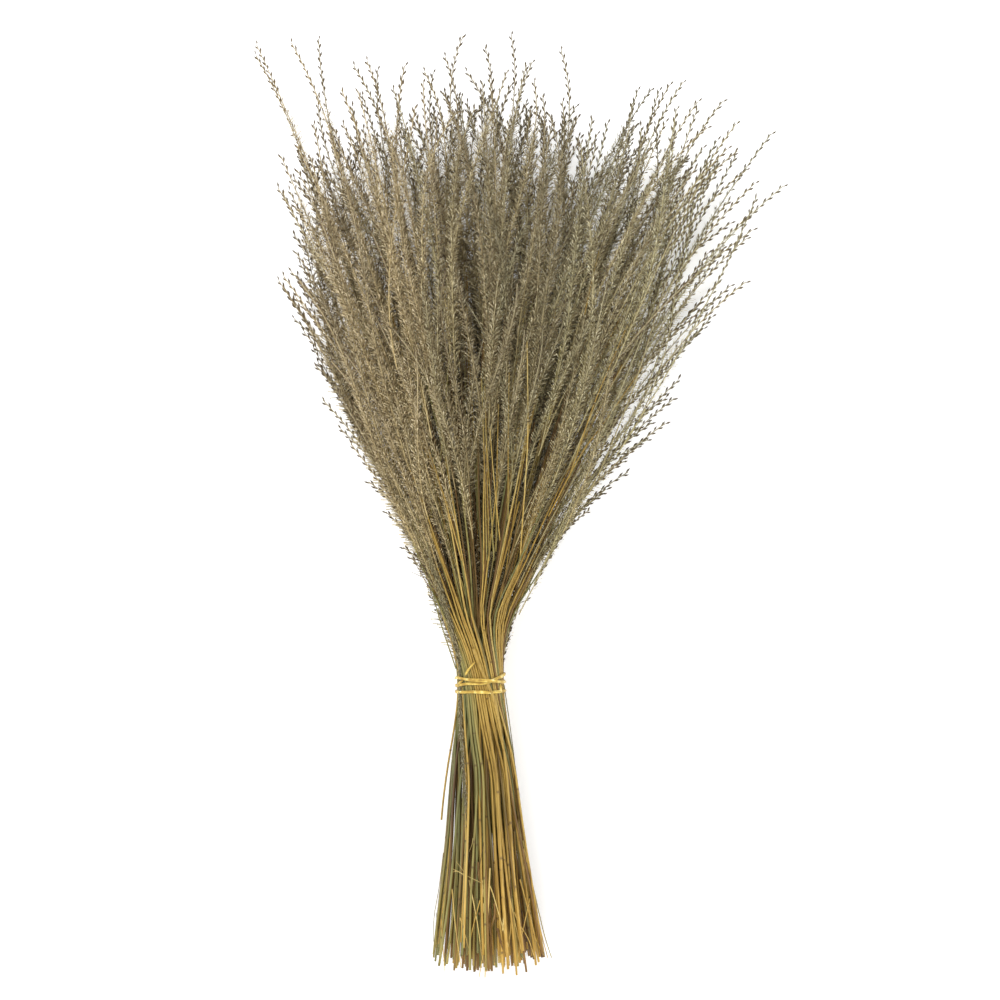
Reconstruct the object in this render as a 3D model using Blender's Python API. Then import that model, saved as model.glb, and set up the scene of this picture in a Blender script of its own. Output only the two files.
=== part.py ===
"""A bunch of dried grass: straw stems tied at the waist with raffia, under feathery flower heads.

The bunch lies on the XY plane as it would on a table. Its cut ends point to -Y, the tips of its
heads to +Y, and X runs across it. Lengths are in metres.
"""

import math
import random

import bmesh
import bpy
from mathutils import Vector

# Driving dimensions
STEM_DIAMETER = 0.0024
CORD_DIAMETER = 0.0024
GAP = 0.0003
CUT_END = -0.377
TIE_LOW = -0.158
TIE_HIGH = -0.134
HEADS_START = -0.045
FURTHEST_TIP = 0.377
OUTER_STEMS = 30
OUTER_RING = 0.93

# The bunch's outline: along Y, the middle in X, half the width, the middle in Z, half the depth
OUTLINE = (
    (CUT_END, -0.0236, 0.0490, 0.0280, 0.0300),
    (-0.2700, -0.0265, 0.0335, 0.0305, 0.0245),
    (-0.2050, -0.0292, 0.0245, 0.0370, 0.0205),
    (TIE_LOW, -0.0304, 0.0192, 0.0440, 0.0172),
    (TIE_HIGH, -0.0308, 0.0192, 0.0462, 0.0172),
    (-0.1100, -0.0325, 0.0224, 0.0480, 0.0192),
    (-0.0800, -0.0335, 0.0322, 0.0500, 0.0240),
    (HEADS_START, -0.0328, 0.0530, 0.0515, 0.0330),
    (-0.0100, -0.0252, 0.0770, 0.0530, 0.0430),
    (0.0380, -0.0180, 0.1090, 0.0550, 0.0560),
    (0.0860, -0.0164, 0.1400, 0.0570, 0.0620),
    (0.1340, -0.0120, 0.1640, 0.0585, 0.0645),
    (0.1820, -0.0080, 0.1800, 0.0585, 0.0645),
    (0.2300, 0.0090, 0.1930, 0.0570, 0.0620),
    (0.2940, 0.0080, 0.1960, 0.0530, 0.0550),
    (FURTHEST_TIP, 0.0000, 0.2124, 0.0450, 0.0420),
)
STEM_STATIONS = [row[0] for row in OUTLINE if CUT_END < row[0] < HEADS_START]

STRAW = (0.56, 0.41, 0.16)
OLIVE = (0.34, 0.33, 0.14)
BROWN = (0.33, 0.21, 0.10)
HEAD_KHAKI = (0.36, 0.30, 0.19)
SEED_GREY = (0.24, 0.21, 0.16)
RAFFIA_YELLOW = (0.80, 0.58, 0.16)


def material(name, colour, roughness=0.75):
    """A plain dry-plant finish."""
    found = bpy.data.materials.get(name)
    if found:
        return found
    made = bpy.data.materials.new(name)
    made.use_nodes = True
    shader = made.node_tree.nodes["Principled BSDF"]
    shader.inputs["Base Color"].default_value = (*colour, 1)
    shader.inputs["Roughness"].default_value = roughness
    shader.inputs["Metallic"].default_value = 0
    return made


def outline(y):
    """Middle X, half width, middle Z and half depth of the bunch at y."""
    for low, high in zip(OUTLINE, OUTLINE[1:]):
        if y <= high[0]:
            break
    share = (y - low[0]) / (high[0] - low[0])
    return [a + (b - a) * share for a, b in zip(low[1:], high[1:])]


def place(across, deep, y):
    """The point at y that lies at these shares of the half width and the half depth."""
    middle_x, half_width, middle_z, half_depth = outline(y)
    return Vector((middle_x + across * half_width, y, middle_z + deep * half_depth))


def smooth(share):
    share = min(max(share, 0), 1)
    return share * share * (3 - 2 * share)


def finish(name, bm, surface, flat_angle=40):
    """Turn a bmesh into a named object with its own material."""
    bmesh.ops.recalc_face_normals(bm, faces=bm.faces[:])
    mesh = bpy.data.meshes.new(name)
    bm.to_mesh(mesh)
    bm.free()
    mesh.materials.append(surface)
    mesh.shade_smooth()
    mesh.set_sharp_from_angle(angle=math.radians(flat_angle))
    made = bpy.data.objects.new(name, mesh)
    bpy.context.collection.objects.link(made)
    return made


def extrude_along(sections):
    """A closed body from a first face that is extruded through each further section."""
    bm = bmesh.new()
    face = bm.faces.new([bm.verts.new(point) for point in sections[0]])
    made = bmesh.ops.extrude_face_region(bm, geom=[face])["geom"]
    face = next(part for part in made if isinstance(part, bmesh.types.BMFace))
    for number, section in enumerate(sections[1:]):
        if number:
            face = bmesh.ops.extrude_discrete_faces(bm, faces=[face])["faces"][0]
        for corner, point in zip(face.verts, section):
            corner.co = point
    return bm


def polygon(centre, half_x, half_z, sides, turn=0.5):
    """A section across Y: a regular polygon stretched to these half sizes."""
    angles = [2 * math.pi * (step + turn) / sides for step in range(sides)]
    return [
        centre + Vector((half_x * math.cos(angle), 0, half_z * math.sin(angle)))
        for angle in angles
    ]


# Stems

STEM_SIDES = 6
LOWEST_SLOT = -90
CAUGHT_SLOT = 20
BROKEN_SLOT = 22
BROKEN_END = -0.2548
BROKEN_LEAN = 1.10
WANDER = 0.3 * STEM_DIAMETER
END_SPREAD = 0.016
SIDE_STEMS_SHORTER = 0.012


def slot_angle(slot):
    """The angle round the bunch of an outer stem's place."""
    return math.radians(LOWEST_SLOT + slot * 360 / OUTER_STEMS)


def cut_end(chance, across):
    """Where a stem was cut: most are near the full length, side stems a little shorter."""
    return CUT_END + 0.0003 + END_SPREAD * chance ** 2 + SIDE_STEMS_SHORTER * across ** 2


def stem_point(across, deep, y, wander):
    """Where a stem passes y. Away from the tie it wanders a little in the room that it has."""
    middle_x, half_width, middle_z, half_depth = outline(y)
    waist_x, waist_width, waist_z, waist_depth = outline(TIE_LOW)
    point = place(across, deep, y)
    point.x += WANDER * wander[0] * (half_width / waist_width - 1)
    point.z += WANDER * wander[1] * (half_depth / waist_depth - 1)
    point.z = max(point.z, STEM_DIAMETER / 2)
    return point


def make_outer_stems(dice):
    """The ring of single stems that shows all round. Returns each top end by its slot."""
    tops = {}
    surfaces = [
        material("straw", STRAW),
        material("olive_straw", OLIVE),
        material("brown_straw", BROWN),
    ]
    number = 0
    for slot in range(OUTER_STEMS):
        if slot == CAUGHT_SLOT:
            continue
        angle = slot_angle(slot)
        across = OUTER_RING * math.cos(angle)
        deep = OUTER_RING * math.sin(angle)
        low = cut_end(dice.random(), across)
        wander = dice.uniform(-1, 1), dice.uniform(-1, 1)
        if slot == BROKEN_SLOT:
            low = BROKEN_END
        path = [
            stem_point(across, deep, y, wander)
            for y in (low, *(y for y in STEM_STATIONS if y > low), HEADS_START)
        ]
        if slot == BROKEN_SLOT:
            path[0].x = place(-BROKEN_LEAN, deep, low).x
        radius = STEM_DIAMETER / 2
        sections = [polygon(point, radius, radius, STEM_SIDES) for point in path]
        surface = surfaces[dice.choice((0, 0, 0, 1, 1, 2))]
        name = "broken_stem"
        if slot != BROKEN_SLOT:
            number += 1
            name = f"stem_{number:02d}"
        finish(name, extrude_along(sections), surface)
        tops[slot] = path[-1]
    return tops


def make_inner_stems(dice):
    """The stems inside the ring, pressed into one mass under the tie and free above and below it.

    Returns the top end of each.
    """
    middle_x, half_width, middle_z, half_depth = outline(TIE_LOW)
    ring_inside = STEM_DIAMETER + GAP
    limit_x = OUTER_RING * half_width - ring_inside + STEM_DIAMETER / 2
    limit_z = OUTER_RING * half_depth - ring_inside + STEM_DIAMETER / 2
    count = 2 * math.ceil(half_width / STEM_DIAMETER)

    bm = bmesh.new()
    bmesh.ops.create_grid(bm, x_segments=count, y_segments=count, size=count * STEM_DIAMETER / 2)
    outside = [
        corner for corner in bm.verts
        if (corner.co.x / limit_x) ** 2 + (corner.co.y / limit_z) ** 2 > 1
    ]
    bmesh.ops.delete(bm, geom=outside, context="VERTS")
    low_faces = bm.faces[:]
    shares = []
    for face in low_faces:
        centre = face.calc_center_median()
        shares.append((centre.x / half_width, centre.y / half_depth))
    for corner in bm.verts:
        corner.co = place(corner.co.x / half_width, corner.co.y / half_depth, TIE_LOW)
    made = bmesh.ops.extrude_face_region(bm, geom=low_faces)["geom"]
    high_faces = [part for part in made if isinstance(part, bmesh.types.BMFace)]
    high_corners = [part for part in made if isinstance(part, bmesh.types.BMVert)]
    bmesh.ops.translate(bm, vec=place(0, 0, TIE_HIGH) - place(0, 0, TIE_LOW), verts=high_corners)

    wanders = [(dice.uniform(-1, 1), dice.uniform(-1, 1)) for face in low_faces]
    cut_ends = [cut_end(dice.random(), across) for across, deep in shares]
    below = [[y] * len(shares) for y in reversed(STEM_STATIONS) if y < TIE_LOW]
    above = [[y] * len(shares) for y in STEM_STATIONS if y > TIE_HIGH]
    tops = [HEADS_START] * len(shares)
    for faces, stations in ((low_faces, [*below, cut_ends]), (high_faces, [*above, tops])):
        shapes = [
            [corner.co - face.calc_center_median() for corner in face.verts] for face in faces
        ]
        for station in stations:
            faces = bmesh.ops.extrude_discrete_faces(bm, faces=faces)["faces"]
            for face, share, wander, y, shape in zip(faces, shares, wanders, station, shapes):
                middle = stem_point(*share, y, wander)
                for corner, offset in zip(face.verts, shape):
                    corner.co = middle + offset
    finish("inner_stems", bm, material("straw", STRAW), 20)
    return [stem_point(*share, HEADS_START, wander) for share, wander in zip(shares, wanders)]


def make_caught_spike():
    """A loose flower spike that was tied in: under the tie, then out over the stems in front."""
    angle = math.degrees(slot_angle(CAUGHT_SLOT))
    route = (
        (-0.285, 112, 1.10, 0.0010),
        (-0.235, 130, 1.11, 0.0016),
        (-0.190, 148, 1.12, 0.0016),
        (TIE_LOW, angle, OUTER_RING, 0.0012),
        (TIE_HIGH, angle, OUTER_RING, 0.0012),
        (-0.110, angle, OUTER_RING, 0.0014),
        (-0.070, angle, OUTER_RING, 0.0012),
    )
    sections = []
    for y, turn, out, radius in route:
        turn = math.radians(turn)
        centre = place(out * math.cos(turn), out * math.sin(turn), y)
        sections.append(polygon(centre, radius, radius, STEM_SIDES))
    finish("caught_spike", extrude_along(sections), material("grey_spike", SEED_GREY, 0.9))


# Flower heads

HEAD_SIDES = 8
HEAD_RINGS = 8
FOOT_RADIUS = 0.0022
TIP_RADIUS = 0.0028
HEAD_FILL = 0.86
SETTLED = 0.14
BEND_START = 0.12
LAYERS = 3
# Where each layer's tips lie in X and Y, from left to right
TOP_LAYER_TIPS = (
    (-0.197, 0.347), (-0.160, 0.374), (-0.112, 0.345), (-0.044, FURTHEST_TIP),
    (0.011, 0.353), (0.063, 0.295), (0.112, 0.330), (0.175, 0.305),
)
MIDDLE_LAYER_TIPS = (
    (-0.2096, 0.370), (-0.183, 0.369), (-0.141, 0.329), (-0.092, 0.352), (-0.006, 0.375),
    (0.034, 0.364), (0.095, 0.329), (0.132, 0.337), (0.2096, 0.254),
)
LOW_LAYER_TIPS = (
    (-0.176, 0.278), (-0.132, 0.349), (-0.059, 0.358), (-0.027, 0.365),
    (0.044, 0.308), (0.143, 0.320), (0.202, 0.296),
)


def head_fullness(share):
    """How full a head is along its length: soon full above its foot, thinning to its tip."""
    if share < 0.5:
        return smooth(share / SETTLED)
    return 1 - smooth((share - 0.5) / 0.5)


def bend(y):
    """How far the heads have curved away towards their tips at y."""
    return max(y - BEND_START, 0) ** 2


def make_head(name, foot, across, deep, half_across, half_deep, tip):
    """One flower head, from the end of the stem that carries it to its tip."""
    tip_x, tip_y = tip
    foot_y = foot.y + GAP
    foot_shift = foot - place(across, deep, foot_y)
    tip_shift = tip_x - place(across, deep, tip_y).x
    flats = math.cos(math.pi / HEAD_SIDES)
    sections = []
    for ring in range(HEAD_RINGS):
        share = ring / (HEAD_RINGS - 1)
        y = foot_y + (tip_y - foot_y) * share
        middle_x, half_width, middle_z, half_depth = outline(y)
        centre = place(across, deep, y)
        leaving = 1 - smooth(share / SETTLED)
        centre.x += foot_shift.x * leaving + tip_shift * bend(y) / bend(tip_y)
        centre.z += foot_shift.z * leaving
        thin = FOOT_RADIUS + (TIP_RADIUS - FOOT_RADIUS) * share
        full = head_fullness(share)
        half_x = thin + (half_across * half_width * HEAD_FILL - thin) * full
        half_z = thin + (half_deep * half_depth * HEAD_FILL - thin) * full
        section = polygon(centre, half_x / flats, half_z / flats, HEAD_SIDES)
        for point in section:
            point.z = max(point.z, 0)
        sections.append(section)
    finish(name, extrude_along(sections), material("head_khaki", HEAD_KHAKI, 0.95), 60)


def make_heads(outer_tops, inner_tops):
    """Three layers of heads, each head on the end of the nearest stem that has none yet."""
    free = [*outer_tops.values(), *inner_tops]
    layers = (
        ("top", 1, TOP_LAYER_TIPS),
        ("middle", 0, MIDDLE_LAYER_TIPS),
        ("low", -1, LOW_LAYER_TIPS),
    )
    for layer, side, tips in layers:
        deep = side * 2 / LAYERS
        half_across = math.sqrt(1 - (deep * 0.72) ** 2) / len(tips)
        for number, tip in enumerate(tips):
            across = (2 * number + 1 - len(tips)) * half_across
            wanted = place(across * 0.9, deep * 0.9, HEADS_START)
            foot = min(free, key=lambda top: (top - wanted).length)
            free.remove(foot)
            name = f"head_{layer}_{number + 1}"
            make_head(name, foot, across, deep, half_across, 1 / LAYERS, tip)


# Tie

CORD_STEP = 15
CORD_CLEARANCE = 0.0004
# Turned angle from the start, in degrees, and where the cord lies along Y there
CORD_ROUTE = (
    (240, -0.1534),
    (180, -0.1508),
    (0, -0.1504),
    (-180, -0.1460),
    (-270, -0.1434),
    (-360, -0.1366),
    (-540, -0.1396),
    (-720, -0.1428),
    (-820, -0.1432),
)
CROSSING = -638
CROSSING_HALF = 52
CROSSING_LIFT = CORD_DIAMETER + 2 * GAP


def cord_y(turned):
    """Where the cord lies along Y at this angle."""
    for first, second in zip(CORD_ROUTE, CORD_ROUTE[1:]):
        if turned >= second[0]:
            break
    share = (turned - first[0]) / (second[0] - first[0])
    return first[1] + (second[1] - first[1]) * smooth(share)


def make_tie():
    """One cord wound three times round the waist. The last turn passes over the second."""
    route = []
    steps = int((CORD_ROUTE[0][0] - CORD_ROUTE[-1][0]) / CORD_STEP) + 1
    for step in range(steps):
        turned = CORD_ROUTE[0][0] - step * CORD_STEP
        y = cord_y(turned)
        middle_x, half_width, middle_z, half_depth = outline(y)
        near_crossing = 1 - abs(turned - CROSSING) / CROSSING_HALF
        out = CORD_DIAMETER / 2 + CORD_CLEARANCE + CROSSING_LIFT * smooth(2 * near_crossing)
        angle = math.radians(turned)
        x = middle_x + (half_width + out) * math.cos(angle)
        z = middle_z + (half_depth + out) * math.sin(angle)
        route.append((x, y, z, 1))
    curve = bpy.data.curves.new("tie", "CURVE")
    curve.dimensions = "3D"
    curve.bevel_depth = CORD_DIAMETER / 2
    curve.bevel_resolution = 1
    curve.use_fill_caps = True
    spline = curve.splines.new("POLY")
    spline.points.add(len(route) - 1)
    for point, position in zip(spline.points, route):
        point.co = position
    curve.materials.append(material("raffia_yellow", RAFFIA_YELLOW, 0.6))
    bpy.context.collection.objects.link(bpy.data.objects.new("tie", curve))


for old in list(bpy.data.objects):
    bpy.data.objects.remove(old)
dice = random.Random(7)
outer_tops = make_outer_stems(dice)
inner_tops = make_inner_stems(dice)
make_caught_spike()
make_heads(outer_tops, inner_tops)
make_tie()
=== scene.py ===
"""A bunch of dried grass that lies on a pale table: straw stems, raffia tie, feathery flower heads.

Lengths are in metres. The cut ends point to -Y, the tips of the heads to +Y, and Z is up.
"""

import math

import bmesh
import bpy
import numpy as np
from mathutils import Matrix, Vector


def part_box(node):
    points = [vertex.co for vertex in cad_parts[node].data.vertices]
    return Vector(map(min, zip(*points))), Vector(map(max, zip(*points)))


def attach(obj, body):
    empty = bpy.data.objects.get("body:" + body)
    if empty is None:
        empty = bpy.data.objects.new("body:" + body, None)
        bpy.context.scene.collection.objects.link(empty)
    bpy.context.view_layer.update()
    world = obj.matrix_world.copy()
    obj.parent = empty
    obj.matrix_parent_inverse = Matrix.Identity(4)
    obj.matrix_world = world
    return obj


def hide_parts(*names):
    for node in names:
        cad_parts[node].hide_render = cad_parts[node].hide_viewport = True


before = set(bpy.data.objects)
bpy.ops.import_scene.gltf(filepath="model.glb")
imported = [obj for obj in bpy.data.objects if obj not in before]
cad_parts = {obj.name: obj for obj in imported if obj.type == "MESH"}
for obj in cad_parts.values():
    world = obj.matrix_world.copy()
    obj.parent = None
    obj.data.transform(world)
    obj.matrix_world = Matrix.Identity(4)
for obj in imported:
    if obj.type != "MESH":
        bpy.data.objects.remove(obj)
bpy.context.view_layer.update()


# Table, light and camera
# The bunch lies on its side on a pale table under wide, soft lamps. The camera hangs straight
# above it, so the tips of the heads are at the top of the picture.

PICTURE_WIDTH = 0.8
PICTURE_MIDDLE = Vector((-0.0148, 0.0028, 0.055))
LENS = 135
SENSOR = 36


def colour(red, green, blue):
    """A shader colour from the 0 to 255 that a screen shows."""
    shares = [channel / 255 for channel in (red, green, blue)]
    return (*[((s + 0.055) / 1.055) ** 2.4 if s > 0.04045 else s / 12.92 for s in shares], 1)


def add_node(tree, kind, inputs=None, **settings):
    """A new shader node. An input takes a value or the socket that feeds it."""
    made = tree.nodes.new("ShaderNode" + kind)
    for name, value in settings.items():
        setattr(made, name, value)
    for name, value in (inputs or {}).items():
        if isinstance(value, bpy.types.NodeSocket):
            tree.links.new(value, made.inputs[name])
        else:
            made.inputs[name].default_value = value
    return made


def new_finish(name):
    """A new material: its node tree and its Principled shader."""
    finish = bpy.data.materials.new(name)
    finish.use_nodes = True
    return finish, finish.node_tree, finish.node_tree.nodes["Principled BSDF"]


def lay_table():
    bm = bmesh.new()
    bmesh.ops.create_grid(bm, x_segments=1, y_segments=1, size=12)
    bmesh.ops.translate(bm, vec=(0, 0, -0.0003), verts=bm.verts)
    mesh = bpy.data.meshes.new("table")
    bm.to_mesh(mesh)
    bm.free()
    finish, tree, shader = new_finish("pale_table")
    where = add_node(tree, "TexCoord")
    mottle = add_node(tree, "TexNoise", {"Vector": where.outputs["Object"], "Scale": 9, "Detail": 3})
    tone = add_node(tree, "ValToRGB", {"Fac": mottle.outputs["Fac"]})
    tone.color_ramp.elements[0].color = colour(250, 250, 249)
    tone.color_ramp.elements[1].color = colour(254, 254, 254)
    tree.links.new(tone.outputs["Color"], shader.inputs["Base Color"])
    shader.inputs["Roughness"].default_value = 0.9
    shader.inputs["Specular IOR Level"].default_value = 0.1
    shader.inputs["Emission Color"].default_value = (1, 1, 1, 1)
    shader.inputs["Emission Strength"].default_value = 0.18
    mesh.materials.append(finish)
    table = bpy.data.objects.new("table", mesh)
    bpy.context.collection.objects.link(table)


def hang_lamp(name, place_at, aim_at, size, power):
    lamp = bpy.data.lights.new(name, "AREA")
    lamp.shape = "DISK"
    lamp.size = size
    lamp.energy = power
    made = bpy.data.objects.new(name, lamp)
    made.location = place_at
    made.rotation_euler = (Vector(aim_at) - Vector(place_at)).to_track_quat("-Z", "Y").to_euler()
    bpy.context.collection.objects.link(made)


lay_table()
hang_lamp("key_lamp", (-1.3, 0.9, 2.0), (0, 0, 0), 1.5, 42)
hang_lamp("fill_lamp", (1.6, 0.3, 1.9), (0, 0, 0), 1.8, 20)
hang_lamp("foot_lamp", (0.1, -1.7, 1.8), (0, 0, 0), 1.6, 16)

world = bpy.data.worlds.new("studio")
world.use_nodes = True
world.node_tree.nodes["Background"].inputs["Color"].default_value = (1, 1, 1, 1)
world.node_tree.nodes["Background"].inputs["Strength"].default_value = 0.75
bpy.context.scene.world = world

camera_data = bpy.data.cameras.new("camera")
camera_data.lens = LENS
camera_data.sensor_width = SENSOR
camera_data.clip_end = 50
camera = bpy.data.objects.new("camera", camera_data)
camera.location = PICTURE_MIDDLE + Vector((0, 0, PICTURE_WIDTH * LENS / SENSOR))
bpy.context.collection.objects.link(camera)
bpy.context.scene.camera = camera
bpy.context.scene.view_settings.view_transform = "Standard"


# Stems
# About 200 round straws, cut to nearly one length and gathered by hand, so they cross a little
# on each side of the tie. Each is a hollow grass stem with a swollen, brown joint here and there,
# and it thins as it runs up into the flower heads.

STEM_RADIUS = 0.00092
STEM_SIDES = 8
STEM_RINGS = 36
OUTER_STEMS = 30
OUTER_RING = 0.93
GAP_RING = 0.905
LOWEST_SLOT = -90
CAUGHT_SLOT = 20
BROKEN_SLOT = 22
BROKEN_LEAN = 1.10
WAIST = -0.146
CUT_END = -0.377
FAN_START = -0.122
FAN_BOW = 0.38
# How a stem turns round the waist, as shares of its whole turn: back below the tie, forth above it
TWIST_STEPS = np.linspace(-0.5, 0.5, 1001)
TWIST_CURVE = np.convolve(
    np.interp(TWIST_STEPS, (-0.215, WAIST, -0.09), (-0.8, 0, 1.0)),
    np.hanning(41) / np.hanning(41).sum(), "same",
)
OUTER_TWIST = 34
INNER_PITCH = 0.00235
INNER_TWIST = -16
# How the stems fan out above the tie: a stem's share of the way across the waist, and its angle
# in degrees. Then how far along Y the tips reach at each angle, seen from FAN_MIDDLE
FAN_SHARES = (-1.0, -0.75, -0.4, 0.0, 0.4, 0.75, 1.0)
FAN_ANGLES = (-29, -23, -13, -1, 11, 22, 31)
FAN_MIDDLE = (-0.032, -0.130)
REACHES = np.array((
    (-34.0, -0.090), (-32.5, -0.045), (-31.5, 0.010), (-30.5, 0.065), (-29.5, 0.120),
    (-28.5, 0.155), (-26.5, 0.185), (-23.5, 0.235), (-21.0, 0.275), (-17.0, 0.310),
    (-14.0, 0.320), (-7.0, 0.340), (0.0, 0.355), (6.0, 0.352), (10.0, 0.325), (13.0, 0.310),
    (16.0, 0.330), (20.0, 0.325), (24.0, 0.310), (28.0, 0.285), (31.5, 0.235), (34.0, 0.160),
    (35.5, 0.085), (37.5, 0.030), (39.0, -0.020),
))
# The bunch's outline: along Y, the middle in X, half the width, the middle in Z, half the depth
OUTLINE = np.array((
    (CUT_END, -0.0236, 0.0490, 0.0280, 0.0300),
    (-0.2700, -0.0265, 0.0335, 0.0305, 0.0245),
    (-0.2050, -0.0284, 0.0264, 0.0370, 0.0210),
    (-0.1580, -0.0302, 0.0197, 0.0440, 0.0172),
    (-0.1340, -0.0308, 0.0192, 0.0462, 0.0172),
    (-0.1100, -0.0325, 0.0224, 0.0480, 0.0192),
    (-0.0800, -0.0335, 0.0322, 0.0500, 0.0240),
    (-0.0450, -0.0328, 0.0530, 0.0515, 0.0330),
    (-0.0100, -0.0252, 0.0770, 0.0530, 0.0430),
    (0.0380, -0.0180, 0.1090, 0.0550, 0.0560),
    (0.0860, -0.0164, 0.1400, 0.0570, 0.0620),
    (0.1340, -0.0120, 0.1640, 0.0585, 0.0645),
    (0.1820, -0.0080, 0.1800, 0.0585, 0.0645),
    (0.2300, 0.0090, 0.1930, 0.0570, 0.0620),
    (0.2940, 0.0080, 0.1960, 0.0530, 0.0550),
    (0.3770, 0.0000, 0.2124, 0.0450, 0.0420),
))
OUTLINE_STEPS = np.linspace(-0.5, 0.5, 1001)
EASING = np.hanning(33) / np.hanning(33).sum()
OUTLINE_CURVES = [
    np.convolve(np.interp(OUTLINE_STEPS, OUTLINE[:, 0], column), EASING, "same")
    for column in OUTLINE[:, 1:].T
]


def place(across, deep, y):
    """The points at y that lie at these shares of the bunch's half width and half depth."""
    middle_x, half_width, middle_z, half_depth = (
        np.interp(y, OUTLINE_STEPS, curve) for curve in OUTLINE_CURVES
    )
    return np.stack((middle_x + across * half_width, y, middle_z + deep * half_depth), axis=-1)


def ease(share):
    share = np.clip(share, 0, 1)
    return share * share * (3 - 2 * share)


def bend_along(points, route, roll=0.0, level=(0.0, 0.0, 1.0)):
    """Move points of a shape that stands straight along Z onto a route, its X square to level."""
    reach = np.concatenate(([0], np.cumsum(np.linalg.norm(np.diff(route, axis=0), axis=1))))
    forward = np.gradient(route, reach, axis=0)
    forward /= np.linalg.norm(forward, axis=1, keepdims=True)
    sideways = np.cross(level, forward)
    sideways /= np.linalg.norm(sideways, axis=1, keepdims=True)
    upward = np.cross(forward, sideways)
    along = np.clip(points[:, 2], 0, reach[-1])
    centre, ahead, side, lift = (
        np.stack([np.interp(along, reach, line[:, axis]) for axis in range(3)], axis=1)
        for line in (route, forward, sideways, upward)
    )
    turned_x = points[:, 0] * math.cos(roll) - points[:, 1] * math.sin(roll)
    turned_y = points[:, 0] * math.sin(roll) + points[:, 1] * math.cos(roll)
    past = points[:, 2] - along
    return centre + turned_x[:, None] * side + turned_y[:, None] * lift + past[:, None] * ahead


def above_table(points, soft=0.003):
    """Press points softly up where they would sink into the table."""
    low = points[:, 2] < soft
    points[low, 2] = soft * np.exp(points[low, 2] / soft - 1)
    return points


def straight_tube(sides, rings, hollow):
    """A closed tube of unit radius along Z with its rings one apart, unwrapped to a unit square."""
    bm = bmesh.new()
    bmesh.ops.create_cone(
        bm, cap_ends=True, segments=sides, radius1=1, radius2=1, depth=rings - 1
    )
    long_edges = [edge for edge in bm.edges if edge.calc_length() > (rings - 1) * 0.9]
    bmesh.ops.subdivide_edges(bm, edges=long_edges, cuts=rings - 2, use_grid_fill=True)
    bmesh.ops.translate(bm, vec=(0, 0, (rings - 1) / 2), verts=bm.verts)
    if hollow:
        low_cap = min(bm.faces, key=lambda face: face.calc_center_median().z)
        bmesh.ops.inset_individual(bm, faces=[low_cap], thickness=0.3)
        floor = bmesh.ops.extrude_discrete_faces(bm, faces=[low_cap])["faces"][0]
        bmesh.ops.translate(bm, vec=(0, 0, 1.5), verts=floor.verts)
        bmesh.ops.scale(bm, vec=(0.7, 0.7, 1), verts=floor.verts)
    wrap = bm.loops.layers.uv.new("OFBake")
    for face in bm.faces:
        middle = face.calc_center_median()
        is_side = math.hypot(*face.normal.xy) > 0.9 and math.hypot(*middle.xy) > 0.8
        facing = math.atan2(middle.y, middle.x)
        for loop in face.loops:
            corner = loop.vert.co
            if is_side:
                turn = (math.atan2(corner.y, corner.x) - facing + math.pi) % math.tau - math.pi
                around = 0.5 + 0.42 * (facing + turn) / math.pi
                loop[wrap].uv = (0.86 * around, 0.05 + 0.9 * corner.z / (rings - 1))
            else:
                high = 0.97 if corner.z > rings / 2 else 0.02
                loop[wrap].uv = (0.92 + 0.03 * corner.x, high + 0.015 * corner.y)
    mesh = bpy.data.meshes.new("straight_tube")
    bm.to_mesh(mesh)
    bm.free()
    return mesh


def corners_of(mesh):
    found = np.empty(len(mesh.vertices) * 3)
    mesh.vertices.foreach_get("co", found)
    return found.reshape(-1, 3)


def strew(name, shapes):
    """One mesh from a list of straight shapes, each with its bent points and its own numbers.

    Each shape is (mesh, points, wrap shift and size in u, {attribute: value for each point}).
    """
    bm = bmesh.new()
    for mesh, *_ in shapes:
        bm.from_mesh(mesh)
    made = bpy.data.meshes.new(name)
    bm.to_mesh(made)
    bm.free()
    made.vertices.foreach_set("co", np.concatenate([shape[1] for shape in shapes]).ravel())
    for label in shapes[0][3]:
        values = np.concatenate([
            np.broadcast_to(shape[3][label], len(shape[1])) for shape in shapes
        ])
        attribute = made.attributes.new(label, "FLOAT", "POINT")
        attribute.data.foreach_set("value", values.astype(np.float32))
    wrap = made.uv_layers["OFBake"].data
    flat = np.empty(len(wrap) * 2)
    wrap.foreach_get("uv", flat)
    flat = flat.reshape(-1, 2)
    start = 0
    for mesh, _, (shift, size), _ in shapes:
        end = start + len(mesh.loops)
        flat[start:end, 0] = shift + size * flat[start:end, 0]
        start = end
    wrap.foreach_set("uv", flat.ravel())
    made.shade_smooth()
    made.update()
    return made


def show(name, mesh, finish, nodes):
    """Put a finished mesh in the scene in place of these nodes of the model."""
    mesh.materials.append(finish)
    piece = bpy.data.objects.new(name, mesh)
    bpy.context.collection.objects.link(piece)
    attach(piece, "root")
    if nodes:
        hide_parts(*nodes)
    return piece


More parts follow.
